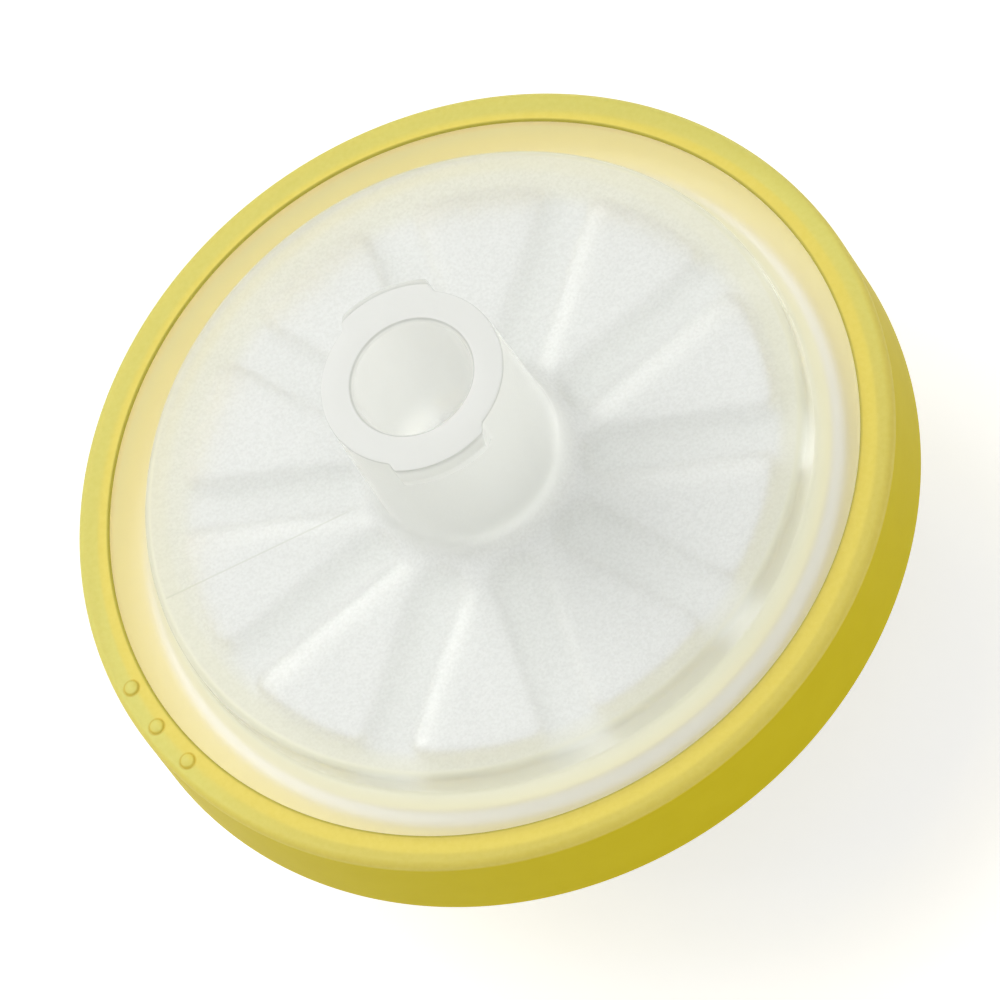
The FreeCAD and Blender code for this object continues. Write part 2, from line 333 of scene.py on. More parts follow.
def chamber_outline(inset):
    """The chamber's outline in plan, round the ribs' ends and along their sides, drawn in by an inset."""
    side = RIB_WIDTH / 2 + inset
    wall = CHAMBER_RADIUS - inset
    bend = RIB_BEND - inset
    end_x = RIB_INNER_RADIUS + RIB_WIDTH / 2
    bend_x = math.sqrt((wall - bend) ** 2 - (side + bend) ** 2)
    bend_angle = math.atan2(side + bend, bend_x)
    sector = 2 * math.pi / RIB_COUNT

    def arc(x, y, radius, start, stop, steps):
        turns = [start + (stop - start) * i / steps for i in range(steps + 1)]
        return [(x + radius * math.cos(t), y + radius * math.sin(t)) for t in turns]

    points = []
    for rib in range(RIB_COUNT):
        outline = arc(bend_x, -side - bend, bend, -bend_angle, math.pi / 2, 8)
        outline += arc(end_x, 0, side, -math.pi / 2, -3 * math.pi / 2, 28)
        outline += arc(bend_x, side + bend, bend, -math.pi / 2, bend_angle, 8)
        outline += arc(0, 0, wall, bend_angle, sector - bend_angle, 26)[1:-1]
        turn = math.radians(FIRST_RIB_ANGLE) + rib * sector
        cos, sin = math.cos(turn), math.sin(turn)
        points += [(x * cos - y * sin, x * sin + y * cos) for x, y in outline]
    return points


def socket_outline():
    """Outline of the flow hole and the socket, from the chamber up to the mouth's level face."""
    floor_radius = SOCKET_RADIUS - SOCKET_TAPER * (MOUTH - SOCKET_FLOOR)
    chamfer_radius = SOCKET_RADIUS - SOCKET_TAPER * SOCKET_CHAMFER
    return rounded([
        (INLET_BOSS_RADIUS, CEILING, 0),
        (INLET_BOSS_RADIUS, INLET_BOSS, 0.12),
        (HOLE_RADIUS, INLET_BOSS, 0.08),
        (HOLE_RADIUS, SOCKET_FLOOR - HOLE_CONE_DEPTH, 0.05),
        (HOLE_CONE_RADIUS, SOCKET_FLOOR, 0.1),
        (floor_radius, SOCKET_FLOOR, 0.15),
        (chamfer_radius, MOUTH - SOCKET_CHAMFER, 0.05),
        (SOCKET_RADIUS + SOCKET_CHAMFER, MOUTH, 0.05),
        (SOCKET_RADIUS + 0.5, MOUTH, 0),
    ])


def lug_loops(shell, angles):
    """Loops from the mouth's rounded outer edge down past the lugs."""
    # Each row is the depth that gives the outline, how far it is drawn in, and how deep it lies
    rows = []
    for step in range(5):
        turn = math.radians(90) * step / 4
        rows.append((0.0, MOUTH_ROUND * (1 - math.sin(turn)), MOUTH_ROUND * (1 - math.cos(turn))))
    rows += [(depth, 0.0, depth) for depth in LUG_DEPTHS]
    loops = []
    for depth, inset, drop in rows:
        outline = ring_points(lambda angle: tube_radius(angle, depth) - inset, MOUTH - drop, angles)
        loops.append(shell.loop(outline))
    return loops


def inlet_outline():
    """Outline of the tube's foot, the plateau, the step, the flange and the pocket of the membrane."""
    return rounded([
        (tube_radius(0, PAST_LUGS), MOUTH - PAST_LUGS, 0),
        (TUBE_RADIUS + TUBE_FLARE, PLATEAU, TUBE_FOOT_ROUND),
        (PLATEAU_RADIUS, PLATEAU, PLATEAU_EDGE_ROUND),
        (PLATEAU_RADIUS, LAND, LAND_ROUND),
        (RING_INNER_RADIUS, LAND, 0),
        (RING_INNER_RADIUS, RING_TOP - RING_LIP, 0),
        (FLANGE_RADIUS, RING_TOP - RING_LIP, 0),
        (FLANGE_RADIUS, WELD, 0),
        (WELD_RADIUS, WELD, 0),
        (POCKET_RADIUS, WELD, 0),
        (POCKET_RADIUS, MEMBRANE_TOP, 0),
        (MEMBRANE_RADIUS, MEMBRANE_TOP, 0),
    ], step_angle=8.0)


def rib_loops(shell):
    """Loops round the chamber and its ribs, from the membrane up to the ceiling."""
    rows = rounded([
        (-RIB_BEND, MEMBRANE_TOP, 0),
        (0, MEMBRANE_TOP, RIB_FOOT_ROUND),
        (0, CEILING, RIB_ROOT_ROUND),
        (RIB_BEND, CEILING, 0),
    ], step_angle=18.0)[1:-1]
    return [shell.loop([(x, y, row.y) for x, y in chamber_outline(row.x)]) for row in rows]


def inlet_shell():
    """The clear upper half, with its welded face in the second finish."""
    shell = Shell()
    angles = tube_angles()

    def circles(outline):
        return [shell.loop(ring_points(point.x, point.y, angles)) for point in outline]

    def finish_at(radius, height):
        return int(MEMBRANE_RADIUS < radius < WELD_RADIUS and height < MEMBRANE_TOP + CONTACT)

    loops = circles(socket_outline())
    ceiling_loop = loops[0]
    loops += lug_loops(shell, angles)
    loops += circles(inlet_outline())
    shell.skins(loops, finish_at)

    walls = rib_loops(shell)
    shell.skins(walls)
    shell.flat(loops[-1], walls[0])
    shell.flat(walls[-1], ceiling_loop)
    return shell


# ---------------------------------------------------------------- the outlet half
SECTOR_STEPS = 20


def drain_ring(radius, level_between):
    """One ring of points of the drain floor, at a level of its own between the radial slots."""
    half_sector = 180.0 / RIB_COUNT
    slot_angle = math.degrees(math.asin(DRAIN_SLOT_WIDTH / 2 / radius))
    points = []
    for sector in range(RIB_COUNT):
        middle = FIRST_RIB_ANGLE + half_sector + 2 * half_sector * sector
        for step in range(2 * SECTOR_STEPS):
            side = step / SECTOR_STEPS - 1
            if abs(side) < 0.5:
                off = slot_angle * abs(side) * 2
            else:
                off = slot_angle + (half_sector - slot_angle) * (abs(side) * 2 - 1)
            turn = math.radians(middle + math.copysign(off, side))
            level = DRAIN_FLOOR if abs(side) <= 0.5 else level_between
            points.append((radius * math.cos(turn), radius * math.sin(turn), level))
    return points


def outlet_outline():
    """Outline from the bore down round the tip, the plate and the flange, to the drain floor's edge."""
    return rounded([
        (BORE_RADIUS, DRAIN_FLOOR, 0),
        (BORE_RADIUS, TIP_END + BORE_CHAMFER, 0.05),
        (BORE_RADIUS + BORE_CHAMFER, TIP_END, 0.05),
        (TIP_RADIUS, TIP_END, 0.15),
        (TIP_ROOT_RADIUS, TIP_LENGTH, 0.12),
        (OUTLET_BOSS_RADIUS, TIP_LENGTH, OUTLET_BOSS_ROUND),
        (OUTLET_BOSS_RADIUS, OUTLET_PLATE, OUTLET_BOSS_ROUND),
        (CHAMBER_RADIUS, OUTLET_PLATE, RECESS_ROUND),
        (CHAMBER_RADIUS, OUTLET_LAND, LAND_ROUND),
        (RING_INNER_RADIUS, OUTLET_LAND, 0),
        (RING_INNER_RADIUS, RING_BOTTOM + RING_LIP, 0),
        (FLANGE_RADIUS, RING_BOTTOM + RING_LIP, 0),
        (FLANGE_RADIUS, TONGUE_BOTTOM, 0),
        (WELD_RADIUS, TONGUE_BOTTOM, 0),
        (WELD_RADIUS, WELD, 0),
        (POCKET_RADIUS, WELD, 0),
        (POCKET_RADIUS, MEMBRANE_BOTTOM, 0),
        (MEMBRANE_RADIUS, MEMBRANE_BOTTOM, 0),
        (CHAMBER_RADIUS, MEMBRANE_BOTTOM, 0),
        (CHAMBER_RADIUS, DRAIN_FLOOR, 0),
    ])


def ridge_loops(shell):
    """Loops over the ridges under the membrane, from the rim inwards."""
    radii = []
    radius = FIRST_RIDGE_RADIUS
    while radius + RIDGE_WIDTH < CHAMBER_RADIUS - RIDGE_WIDTH:
        radii.append(radius)
        radius += RIDGE_PITCH
    loops = []
    for inner in reversed(radii):
        outer = inner + RIDGE_WIDTH
        rows = [
            (outer + RIDGE_SLOPE, DRAIN_FLOOR),
            (outer, MEMBRANE_BOTTOM),
            (inner, MEMBRANE_BOTTOM),
            (inner - RIDGE_SLOPE, DRAIN_FLOOR),
        ]
        for radius, level in rows:
            loops.append(shell.loop(drain_ring(radius, level)))
    return loops


def outlet_shell():
    """The clear lower half, with its welded face in the second finish."""
    shell = Shell()
    angles = [FIRST_RIB_ANGLE + angle for angle in even_angles(2 * SECTOR_STEPS * RIB_COUNT)]

    def finish_at(radius, height):
        return int(MEMBRANE_RADIUS < radius < WELD_RADIUS and height > WELD - CONTACT)

    loops = [shell.loop(ring_points(point.x, point.y, angles)) for point in outlet_outline()]
    loops += ridge_loops(shell)
    shell.skins(loops + loops[:1], finish_at)
    return shell


# ---------------------------------------------------------------- the membrane
def membrane_dip(radius, angle):
    """How far the membrane sinks between the ribs above it."""
    if radius > CHAMBER_RADIUS or radius < MEMBRANE_FLAT_RADIUS:
        return 0.0
    from_rib = (angle - FIRST_RIB_ANGLE) % (360.0 / RIB_COUNT)
    across = math.sin(math.pi * from_rib * RIB_COUNT / 360.0) ** 2
    outward = (radius - MEMBRANE_FLAT_RADIUS) / (CHAMBER_RADIUS - MEMBRANE_FLAT_RADIUS)
    return MEMBRANE_GIVE * across * math.sin(math.pi * outward) ** 0.5


def membrane_shell():
    """A thin sheet that gives a little between the ribs that hold it."""
    shell = Shell()
    angles = even_angles(360)
    top, bottom = MEMBRANE_TOP - CONTACT, MEMBRANE_BOTTOM + CONTACT
    circles = 60
    middle_circle = 6.0
    upper = []
    for number in range(circles, 0, -1):
        radius = MEMBRANE_RADIUS * (number / circles)
        circle = ring_points(radius, lambda angle: top - membrane_dip(radius, angle), angles)
        upper.append(shell.loop(circle))
    shell.fan(upper[-1], (0, 0, top))
    lower = [shell.loop(ring_points(radius, bottom, angles)) for radius in (MEMBRANE_RADIUS, middle_circle)]
    shell.fan(lower[-1][::-1], (0, 0, bottom))
    shell.skins(upper)
    shell.skin(lower[0], upper[0])
    shell.skins(lower)
    return shell


# ---------------------------------------------------------------- the ring
def ring_angles():
    """Angles about the axis, closer together over the three dots."""
    angles = set(even_angles(360))
    for centre in DOT_ANGLES:
        middle = centre % 360
        angles = {angle for angle in angles if abs(angle - middle) > DOT_REACH_ANGLE}
        angles.update(middle + DOT_REACH_ANGLE * i / 20 for i in range(-20, 21))
    return sorted(angles)


def dot_rise(radius, angle):
    """Height of the dots over the ring's top face."""
    for centre in DOT_ANGLES:
        off = math.radians(angle - centre % 360) * radius
        share = math.hypot(off, radius - DOT_CENTRE_RADIUS) / DOT_RADIUS
        if share < 1:
            return DOT_HEIGHT * math.sqrt(1 - share * share) ** 0.8
    return 0.0


def ring_outline():
    """Outline of the ring, its two lips, and the tongue between the flanges."""
    return rounded([
        (RING_INNER_RADIUS - CONTACT, RING_TOP - RING_LIP - CONTACT, 0),
        (RING_INNER_RADIUS - CONTACT, LAND, 0),
        (RING_INNER_RADIUS - CONTACT, RING_TOP, RING_LIP_ROUND),
        (RING_RADIUS, RING_TOP_OUTER, RING_CORNER_ROUND),
        (RING_RADIUS, RING_BOTTOM, RING_CORNER_ROUND),
        (RING_INNER_RADIUS - CONTACT, RING_BOTTOM, RING_LIP_ROUND),
        (RING_INNER_RADIUS - CONTACT, OUTLET_LAND, 0),
        (RING_INNER_RADIUS - CONTACT, RING_BOTTOM + RING_LIP + CONTACT, 0),
        (FLANGE_RADIUS - CONTACT, RING_BOTTOM + RING_LIP + CONTACT, 0),
        (FLANGE_RADIUS - CONTACT, TONGUE_BOTTOM - CONTACT, 0),
        (WELD_RADIUS - CONTACT, TONGUE_BOTTOM - CONTACT, 0),
        (WELD_RADIUS - CONTACT, WELD + CONTACT, 0),
        (FLANGE_RADIUS - CONTACT, WELD + CONTACT, 0),
        (FLANGE_RADIUS - CONTACT, RING_TOP - RING_LIP - CONTACT, 0),
    ], closed=True)


def ring_profile():
    """The ring's outline, with more points over the top face, where the dots are."""
    outline = ring_outline()
    top_steps = 34
    profile = []
    for point, following in zip(outline, outline[1:] + outline[:1]):
        profile.append(point)
        on_top = min(point.y, following.y) > RING_TOP_FACE
        if on_top and (following - point).length > 0.5:
            profile.extend(point.lerp(following, i / top_steps) for i in range(1, top_steps))
    return profile


def ring_shell():
    """The ring, with the second finish on its faces inside the lips and the third on its tongue."""
    shell = Shell()
    angles = ring_angles()
    loops = []
    for point in ring_profile():
        def height(angle, r=point.x, z=point.y):
            return z + dot_rise(r, angle) if z > RING_TOP_FACE else z
        loops.append(shell.loop(ring_points(point.x, height, angles)))

    def finish_at(radius, height):
        if radius < FLANGE_RADIUS - 2 * CONTACT and TONGUE_BOTTOM - 2 * CONTACT < height < WELD + 2 * CONTACT:
            return 2
        return int(radius < FLANGE_RADIUS and OUTLET_LAND < height < LAND)

    shell.skins(loops + loops[:1], finish_at)
    return shell


# ---------------------------------------------------------------- materials
PLASTIC_IOR = 1.49


def new_material(name):
    material = bpy.data.materials.new(name)
    material.use_nodes = True
    tree = material.node_tree
    principled = tree.nodes["Principled BSDF"]
    return material, tree, principled


def own_place(tree):
    """Where a point lies in the part's own frame, in metres."""
    return tree.nodes.new("ShaderNodeTexCoord").outputs["Object"]


def noise(tree, scale, detail=2.0, roughness=0.5):
    """Noise that stays with the part, where scale is grains for each millimetre."""
    texture = tree.nodes.new("ShaderNodeTexNoise")
    texture.inputs["Scale"].default_value = scale / MM
    texture.inputs["Detail"].default_value = detail
    texture.inputs["Roughness"].default_value = roughness
    tree.links.new(own_place(tree), texture.inputs["Vector"])
    return texture.outputs["Fac"]


def ramp(tree, factor, low, high, colours):
    """Goes from the first of two colours to the second as a factor goes from low to high."""
    spread = tree.nodes.new("ShaderNodeMapRange")
    spread.inputs["From Min"].default_value = low
    spread.inputs["From Max"].default_value = high
    tree.links.new(factor, spread.inputs["Value"])
    node = tree.nodes.new("ShaderNodeValToRGB")
    for stop, colour in zip(node.color_ramp.elements, colours):
        stop.color = (*colour, 1)
    tree.links.new(spread.outputs["Result"], node.inputs["Fac"])
    return node.outputs["Color"]


def bump(tree, height, strength, distance_mm):
    node = tree.nodes.new("ShaderNodeBump")
    node.inputs["Strength"].default_value = strength
    node.inputs["Distance"].default_value = distance_mm * MM
    tree.links.new(height, node.inputs["Height"])
    return node.outputs["Normal"]


def blended(tree, share, first, second):
    """A colour that goes from the first to the second as the share goes from 0 to 1."""
    node = tree.nodes.new("ShaderNodeMix")
    node.data_type = "RGBA"
    # Sockets go by number here, because the node has a pair named A and B for each type of data
    factor, a, b = node.inputs[0], node.inputs[6], node.inputs[7]
    tree.links.new(share, factor)
    for socket, colour in ((a, first), (b, second)):
        if isinstance(colour, tuple):
            socket.default_value = (*colour, 1)
        else:
            tree.links.new(colour, socket)
    return node.outputs[2]


def mapped(tree, value, low, high, at_low, at_high):
    """Turns a value's range from low to high smoothly into another."""
    spread = tree.nodes.new("ShaderNodeMapRange")
    spread.interpolation_type = "SMOOTHSTEP"
    for socket, number in (("From Min", low), ("From Max", high), ("To Min", at_low), ("To Max", at_high)):
        spread.inputs[socket].default_value = number
    tree.links.new(value, spread.inputs["Value"])
    return spread.outputs["Result"]


def rise(tree, length, low, high):
    """Goes smoothly from 0 to 1 as a length goes from low to high, both in millimetres."""
    return mapped(tree, length, low * MM, high * MM, 0.0, 1.0)


def fall(tree, length, low, high):
    """Goes smoothly from 1 to 0 as a length goes from low to high, both in millimetres."""
    return mapped(tree, length, low * MM, high * MM, 1.0, 0.0)


def maths(tree, operation, *values):
    node = tree.nodes.new("ShaderNodeMath")
    node.operation = operation
    for socket, value in zip(node.inputs, values):
        if isinstance(value, (int, float)):
            socket.default_value = value
        else:
            tree.links.new(value, socket)
    return node.outputs[0]


def times(tree, first, second):
    return maths(tree, "MULTIPLY", first, second)


def diagonal(tree, across, along):
    """Length of the diagonal of two lengths at right angles."""
    squares = maths(tree, "ADD", times(tree, across, across), times(tree, along, along))
    return maths(tree, "SQRT", squares)


def coordinates(tree):
    """The part's own X, Y and Z, in metres."""
    split = tree.nodes.new("ShaderNodeSeparateXYZ")
    tree.links.new(own_place(tree), split.inputs[0])
    return split.outputs


def from_axis(tree):
    """Distance from the part's axis, and height."""
    x, y, z = coordinates(tree)
    return diagonal(tree, x, y), z


def knit_line(tree):
    """1 along the hairline where the plastic's flow met as it was moulded, and 0 off it."""
    cos, sin = math.cos(math.radians(KNIT_ANGLE)), math.sin(math.radians(KNIT_ANGLE))
    x, y, _ = coordinates(tree)
    along = maths(tree, "ADD", times(tree, x, cos), times(tree, y, sin))
    aside = maths(tree, "SUBTRACT", times(tree, y, cos), times(tree, x, sin))
    off_line = maths(tree, "ABSOLUTE", maths(tree, "SUBTRACT", aside, KNIT_ASIDE * MM))
    near = fall(tree, off_line, 0.01, 0.05)
    return times(tree, near, rise(tree, along, KNIT_START, KNIT_START + 1))


def dot_foot_shade(tree):
    """1 along the foot of each of the ring's dots, where shade is painted, and 0 elsewhere."""
    x, y, _ = coordinates(tree)
    nearest = 1.0
    for angle in DOT_ANGLES:
        turn = math.radians(angle)
        across = maths(tree, "SUBTRACT", x, DOT_CENTRE_RADIUS * math.cos(turn) * MM)
        along = maths(tree, "SUBTRACT", y, DOT_CENTRE_RADIUS * math.sin(turn) * MM)
        nearest = maths(tree, "MINIMUM", diagonal(tree, across, along), nearest)
    off_edge = maths(tree, "ABSOLUTE", maths(tree, "SUBTRACT", nearest, DOT_RADIUS * MM))
    return fall(tree, off_edge, 0.02, 0.08)


def show(tree, shader):
    tree.links.new(shader, tree.nodes["Material Output"].inputs["Surface"])


def mixed(tree, share, first, second):
    """A shader that goes from the first to the second as the share goes from 0 to 1."""
    mix = tree.nodes.new("ShaderNodeMixShader")
    tree.links.new(share, mix.inputs["Fac"])
    tree.links.new(first, mix.inputs[1])
    tree.links.new(second, mix.inputs[2])
    return mix.outputs[0]


def let_light_in(tree, shader, tint, lamp_tint=None):
    """Lets lamps and the light between matt surfaces straight through a plastic, each with its tint."""
    path = tree.nodes.new("ShaderNodeLightPath")
    clear = tree.nodes.new("ShaderNodeBsdfTransparent")
    clear.inputs["Color"].default_value = (*tint, 1)
    if lamp_tint:
        tinted = blended(tree, path.outputs["Is Shadow Ray"], tint, lamp_tint)
        tree.links.new(tinted, clear.inputs["Color"])
    indirect = maths(tree, "MAXIMUM", path.outputs["Is Shadow Ray"], path.outputs["Is Diffuse Ray"])
    return mixed(tree, indirect, shader, clear.outputs[0])


def set_plastic(shader, roughness, transmission):
    shader.inputs["Roughness"].default_value = roughness
    shader.inputs["IOR"].default_value = PLASTIC_IOR
    shader.inputs["Transmission Weight"].default_value = transmission


# ---------------------------------------------------------------- clear plastic
class ClearPlaces:
    """Places of the clear halves that have their own look: each is 0 away from the place and 1 in it."""

    def __init__(self, tree):
        radius, height = from_axis(tree)
        over_plateau = rise(tree, height, PLATEAU - 0.1, PLATEAU - 0.02)
        inside_edge = fall(tree, radius, PLATEAU_RADIUS - 0.35, PLATEAU_RADIUS - 0.2)
        past_edge = rise(tree, radius, PLATEAU_RADIUS - 0.3, PLATEAU_RADIUS - 0.1)
        near_mouth = rise(tree, height, MOUTH - 0.1, MOUTH - 0.05)
        self.frosted = times(tree, over_plateau, inside_edge)
        self.land = times(tree, rise(tree, height, LAND - 0.05, LAND - 0.02), past_edge)
        self.step = times(tree, rise(tree, height, LAND + 0.05, LAND + 0.25), past_edge)
        self.tube = rise(tree, height, PLATEAU + 0.1, PLATEAU + 1.0)
        # The bore, which is painted whiter for the light that the tube lets into it
        self.bore = fall(tree, radius, SOCKET_RADIUS + 0.1, SOCKET_RADIUS + 0.3)
        self.mouth = rise(tree, height, MOUTH - 0.03, MOUTH - 0.005)
        # The band round the mouth's rounded edge, where shade is painted
        self.mouth_edge_shade = maths(tree, "SUBTRACT", near_mouth, self.mouth)
        # The plateau's rim and the flange, where yellow light from the ring is painted on
        self.rim = rise(tree, radius, CHAMBER_RADIUS + 0.1, CHAMBER_RADIUS + 0.5)
        self.flange = rise(tree, radius, CHAMBER_RADIUS + 0.2, CHAMBER_RADIUS + 0.4)
        self.knit = times(tree, knit_line(tree), self.frosted)


def clear_roughness(tree, places):
    """Matt on the plateau and the tube, on the land and on the step above it, and smooth elsewhere."""
    rough = maths(tree, "MULTIPLY_ADD", places.frosted, 0.34, 0.2)
    rough = maths(tree, "MULTIPLY_ADD", places.land, 0.3, rough)
    return maths(tree, "MULTIPLY_ADD", places.step, 0.1, rough)


def clear_transmission(tree, places):
    """Less where it is frosted, and least on the mouth's level face."""
    share = maths(tree, "MULTIPLY_ADD", places.frosted, -0.2, 0.85)
    share = maths(tree, "MULTIPLY_ADD", places.tube, 0.15, share)
    return maths(tree, "MULTIPLY_ADD", places.mouth, -0.5, share)


def clear_colour(tree, places, grain):
    """Speckled on the plateau, with painted yellow light from the ring towards its rim and over the flange, a
    bore painted whiter for the light let into it, and painted shade round the mouth's edge.
    """
    speckled = ramp(tree, grain, 0.35, 0.65, [(0.88, 0.885, 0.87), (0.99, 0.995, 0.98)])
    # Painted yellow light from the ring, on the frosted plateau near its rim
    speckled = blended(tree, times(tree, places.rim, 0.3), speckled, (0.95, 0.94, 0.80))
    # Painted light: the bore is whiter than the rest of the tube, for the light let into it
    tube = blended(tree, places.bore, (0.97, 0.975, 0.96), (0.995, 0.995, 0.985))
    matt = blended(tree, places.tube, speckled, tube)
    matt = blended(tree, places.knit, matt, (0.80, 0.815, 0.76))
    # Painted yellow light from the ring, on the polished flange
    polished = blended(tree, places.flange, (0.97, 0.975, 0.96), (0.99, 0.985, 0.91))
    faces = blended(tree, places.frosted, polished, matt)
    # Painted shade: a dark band round the mouth's edge
    return blended(tree, places.mouth_edge_shade, faces, (0.58, 0.59, 0.58))


def clear_relief(tree, places, grain):
    """The frosted grain, with the knit line as a groove in it."""
    frost = times(tree, grain, places.frosted)
    return bump(tree, maths(tree, "MULTIPLY_ADD", places.knit, -1.0, frost), 0.4, 0.02)


def clear_plastic():
    """Clear polypropylene, with a frosted plateau and a milky tube."""
    material, tree, shader = new_material("clear_polypropylene")
    places = ClearPlaces(tree)
    grain = noise(tree, 9.0, detail=3.0)
    shader.inputs["IOR"].default_value = PLASTIC_IOR
    tree.links.new(clear_roughness(tree, places), shader.inputs["Roughness"])
    tree.links.new(clear_transmission(tree, places), shader.inputs["Transmission Weight"])
    tree.links.new(clear_colour(tree, places, grain), shader.inputs["Base Color"])
    tree.links.new(clear_relief(tree, places, grain), shader.inputs["Normal"])

    scatter = tree.nodes.new("ShaderNodeBsdfTranslucent")
    scatter.inputs["Color"].default_value = (0.97, 0.98, 0.96, 1)
    milky = mixed(tree, times(tree, places.tube, 0.22), shader.outputs[0], scatter.outputs[0])
    lamp_tint = blended(tree, places.tube, (0.97, 0.98, 0.96), (0.70, 0.705, 0.695))
    show(tree, let_light_in(tree, milky, (0.985, 0.99, 0.98), lamp_tint))
    return material


def joint_in_plastic():
    """Nothing shows where one moulding is welded to another."""
    material, tree, _ = new_material("welded_joint")
    show(tree, tree.nodes.new("ShaderNodeBsdfTransparent").outputs[0])
    return material


# ---------------------------------------------------------------- membrane
def membrane_white():
    """Matt white with a fine grain, and painted olive-yellow at its clamped edge: painted light and shade
    from the yellow ring around it.
    """
    material, tree, shader = new_material("membrane_white")
    grain = noise(tree, 6.0, detail=3.0, roughness=0.7)
    white = ramp(tree, grain, 0.3, 0.7, [(0.86, 0.87, 0.85), (0.93, 0.94, 0.92)])
    radius, _ = from_axis(tree)
    clamped = rise(tree, radius, CHAMBER_RADIUS - 0.2, CHAMBER_RADIUS + 0.1)
    outward = rise(tree, radius, MEMBRANE_RADIUS - 0.6, MEMBRANE_RADIUS)
    # Painted yellow light and shade from the ring, on the clamped edge
    rim = blended(tree, outward, (0.85, 0.83, 0.62), (0.92, 0.84, 0.46))
    tree.links.new(blended(tree, clamped, white, rim), shader.inputs["Base Color"])
    shader.inputs["Roughness"].default_value = 0.8
    tree.links.new(bump(tree, grain, 0.5, 0.03), shader.inputs["Normal"])
    return material


# ---------------------------------------------------------------- yellow plastic
LIGHT_THROUGH_YELLOW = (0.97, 0.90, 0.60)


def show_both_sides(tree, shader, colour, roughness, transmission):
    """Shows a shader from outside, and another yellow where light leaves through the face."""
    leaving = tree.nodes.new("ShaderNodeBsdfPrincipled")
    leaving.inputs["Base Color"].default_value = (*colour, 1)
    set_plastic(leaving, roughness, transmission)
    inside = tree.nodes.new("ShaderNodeNewGeometry").outputs["Backfacing"]
    both = mixed(tree, inside, shader.outputs[0], leaving.outputs[0])
    show(tree, let_light_in(tree, both, LIGHT_THROUGH_YELLOW))


def yellow_colour(tree, on_top, grain):
    """Deep yellow on the wall, painted paler on top for the light and highlight that fall on it, and painted
    shade as darker lines at the lip and round the dots.
    """
    wall = ramp(tree, noise(tree, 0.8, detail=3.0), 0.3, 0.7, [(0.73, 0.59, 0.003), (0.75, 0.61, 0.006)])
    # Painted light: the top face is paler than the wall, for the light and highlight that fall on it
    top = ramp(tree, grain, 0.3, 0.7, [(0.885, 0.775, 0.16), (0.925, 0.815, 0.19)])
    # Painted shade round the foot of each dot
    top = blended(tree, dot_foot_shade(tree), top, (0.78, 0.60, 0.08))
    radius, _ = from_axis(tree)
    # Painted shade: a dark line where the ring's inner lip meets the land
    lip_shade = fall(tree, radius, RING_INNER_RADIUS + 0.02, RING_INNER_RADIUS + 0.12)
    return blended(tree, lip_shade, blended(tree, on_top, wall, top), (0.42, 0.40, 0.06))


def yellow_plastic():
    """Translucent yellow: deep in colour from outside, and clear to light that leaves it."""
    material, tree, shader = new_material("yellow_polypropylene")
    grain = noise(tree, 5.0, detail=2.0)
    _, height = from_axis(tree)
    on_top = rise(tree, height, RING_TOP - 0.42, RING_TOP - 0.28)
    tree.links.new(yellow_colour(tree, on_top, grain), shader.inputs["Base Color"])
    tree.links.new(mapped(tree, on_top, 0.0, 1.0, 0.0, 0.5), shader.inputs["Transmission Weight"])
    tree.links.new(bump(tree, grain, 0.15, 0.02), shader.inputs["Normal"])
    shader.inputs["Roughness"].default_value = 0.5
    shader.inputs["IOR"].default_value = PLASTIC_IOR
    shader.inputs["Specular IOR Level"].default_value = 0.1
    show_both_sides(tree, shader, (0.33, 0.44, 0.18), 0.3, 1.0)
    return material


def yellow_on_clear():
    """The yellow where it is moulded on the clear halves."""
    material, tree, shader = new_material("yellow_on_clear")
    shader.inputs["Base Color"].default_value = (0.99, 0.80, 0.45, 1)
    set_plastic(shader, 0.2, 0.9)
    show_both_sides(tree, shader, (0.97, 0.80, 0.14), 0.5, 0.0)
    return material


def yellow_tongue():
    """The thin yellow between the two clear flanges."""
    material, tree, shader = new_material("yellow_tongue")
    radius, _ = from_axis(tree)
    outward = rise(tree, radius, WELD_RADIUS, WELD_RADIUS + 0.5)
    colour = blended(tree, outward, (1.0, 0.87, 0.33), (1.0, 0.915, 0.46))
    tree.links.new(colour, shader.inputs["Base Color"])
    set_plastic(shader, 0.2, 0.85)
    show_both_sides(tree, shader, (0.99, 0.91, 0.46), 0.2, 0.6)
    return material


# ---------------------------------------------------------------- the pieces
clear, joint = clear_plastic(), joint_in_plastic()
place("inlet_half", inlet_shell(), "inlet_housing", "clear_housing", clear, joint)
place("outlet_half", outlet_shell(), "outlet_housing", "clear_housing", clear, joint)
place("membrane_sheet", membrane_shell(), "filter_membrane", "membrane", membrane_white())
yellows = (yellow_plastic(), yellow_on_clear(), yellow_tongue())
place("moulded_ring", ring_shell(), "overmould_ring", "coloured_ring", *yellows)


# ---------------------------------------------------------------- floor, light and camera
# Lengths from here on are in metres
FLOOR_HALF_WIDTH = 0.4
FLOOR_GLOW = 0.45
ROOM_LIGHT = 0.45


def seen_directly(tree):
    """1 for a ray from the camera, or one that gloss or glass has turned."""
    rays = tree.nodes.new("ShaderNodeLightPath").outputs
    seen = maths(tree, "MAXIMUM", rays["Is Camera Ray"], rays["Is Glossy Ray"])
    return maths(tree, "MAXIMUM", seen, rays["Is Transmission Ray"])


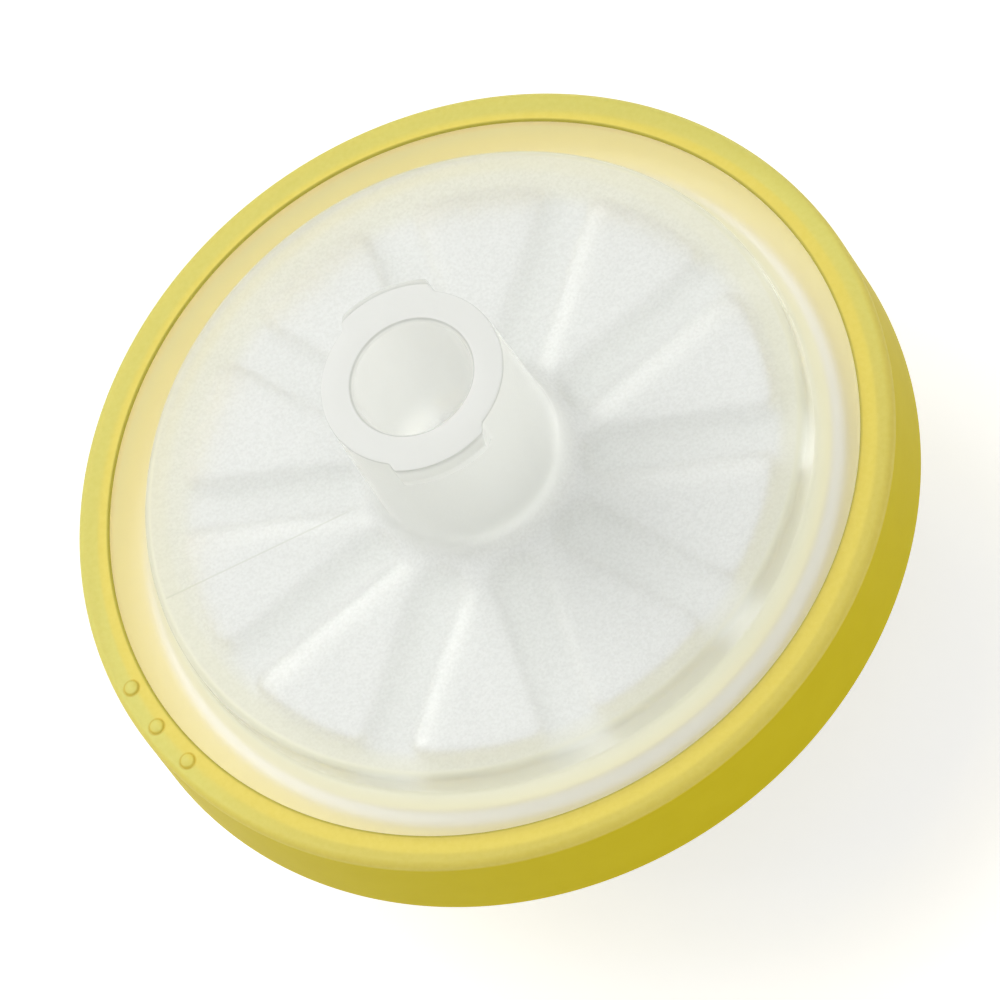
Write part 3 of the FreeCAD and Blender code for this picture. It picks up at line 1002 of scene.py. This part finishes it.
def make_floor():
    """A pale floor that glows a little to the eye, so that it is white and keeps the shadow."""
    far = FLOOR_HALF_WIDTH
    mesh = bpy.data.meshes.new("floor")
    mesh.from_pydata([(-far, -far, 0), (far, -far, 0), (far, far, 0), (-far, far, 0)], [], [(0, 1, 2, 3)])
    floor = bpy.data.objects.new("floor", mesh)
    bpy.context.scene.collection.objects.link(floor)
    material, tree, shader = new_material("floor_white")
    shader.inputs["Base Color"].default_value = (0.90, 0.90, 0.90, 1)
    shader.inputs["Roughness"].default_value = 0.9
    shader.inputs["Specular IOR Level"].default_value = 0.1
    shader.inputs["Emission Color"].default_value = (1, 1, 1, 1)
    tree.links.new(times(tree, seen_directly(tree), FLOOR_GLOW), shader.inputs["Emission Strength"])
    mesh.materials.append(material)


def make_world():
    """Soft light from all round, and a pale backdrop where the floor ends."""
    world = bpy.data.worlds.new("studio")
    world.use_nodes = True
    bpy.context.scene.world = world
    tree = world.node_tree
    lighting = tree.nodes["Background"]
    lighting.inputs["Color"].default_value = (1, 1, 1, 1)
    lighting.inputs["Strength"].default_value = ROOM_LIGHT
    backdrop = tree.nodes.new("ShaderNodeBackground")
    backdrop.inputs["Strength"].default_value = 1.0
    both = mixed(tree, seen_directly(tree), lighting.outputs[0], backdrop.outputs[0])
    tree.links.new(both, tree.nodes["World Output"].inputs["Surface"])


def away_from_part(azimuth, elevation):
    """Unit vector from the part to a view or lamp. An azimuth of 0 is the front, and 90 the right."""
    a, e = math.radians(azimuth), math.radians(elevation)
    return Vector((math.sin(a) * math.cos(e), -math.cos(a) * math.cos(e), math.sin(e)))


def soft_lamp(name, azimuth, elevation, distance, size, power):
    """A square area lamp that faces the filter."""
    away = away_from_part(azimuth, elevation)
    light = bpy.data.lights.new(name, "AREA")
    light.size = size
    light.energy = power
    lamp = bpy.data.objects.new(name, light)
    lamp.location = away * distance
    lamp.rotation_mode = "QUATERNION"
    lamp.rotation_quaternion = (-away).to_track_quat("-Z", "Y")
    bpy.context.scene.collection.objects.link(lamp)


CAMERA_AZIMUTH = 13.83
CAMERA_ELEVATION = 58.88
CAMERA_ROLL = -35.83
CAMERA_DISTANCE = 0.6
LENS_MM = 619.3
AIM_RIGHT = 0.632 * MM
AIM_DOWN = 0.890 * MM


def make_camera():
    """A long lens that looks down on the filter, rolled about its own axis."""
    back = away_from_part(CAMERA_AZIMUTH, CAMERA_ELEVATION)
    upright = (-back).to_track_quat("-Z", "Y")
    rolled = upright @ Quaternion((0, 0, 1), math.radians(CAMERA_ROLL))
    right, up = rolled @ Vector((1, 0, 0)), rolled @ Vector((0, 1, 0))
    target = Vector((0, 0, RING_TOP * MM)) + right * AIM_RIGHT - up * AIM_DOWN
    data = bpy.data.cameras.new("camera")
    data.lens = LENS_MM
    data.sensor_width = 36
    data.clip_start = 0.05
    data.clip_end = 10
    camera = bpy.data.objects.new("camera", data)
    camera.location = target + back * CAMERA_DISTANCE
    camera.rotation_mode = "QUATERNION"
    camera.rotation_quaternion = rolled
    bpy.context.scene.collection.objects.link(camera)
    bpy.context.scene.camera = camera


make_floor()
make_world()
soft_lamp("key", azimuth=-136, elevation=50, distance=0.6, size=0.5, power=2.05)
soft_lamp("fill", azimuth=50, elevation=42, distance=0.6, size=0.9, power=0.7)
make_camera()
bpy.context.scene.view_settings.view_transform = "Standard"
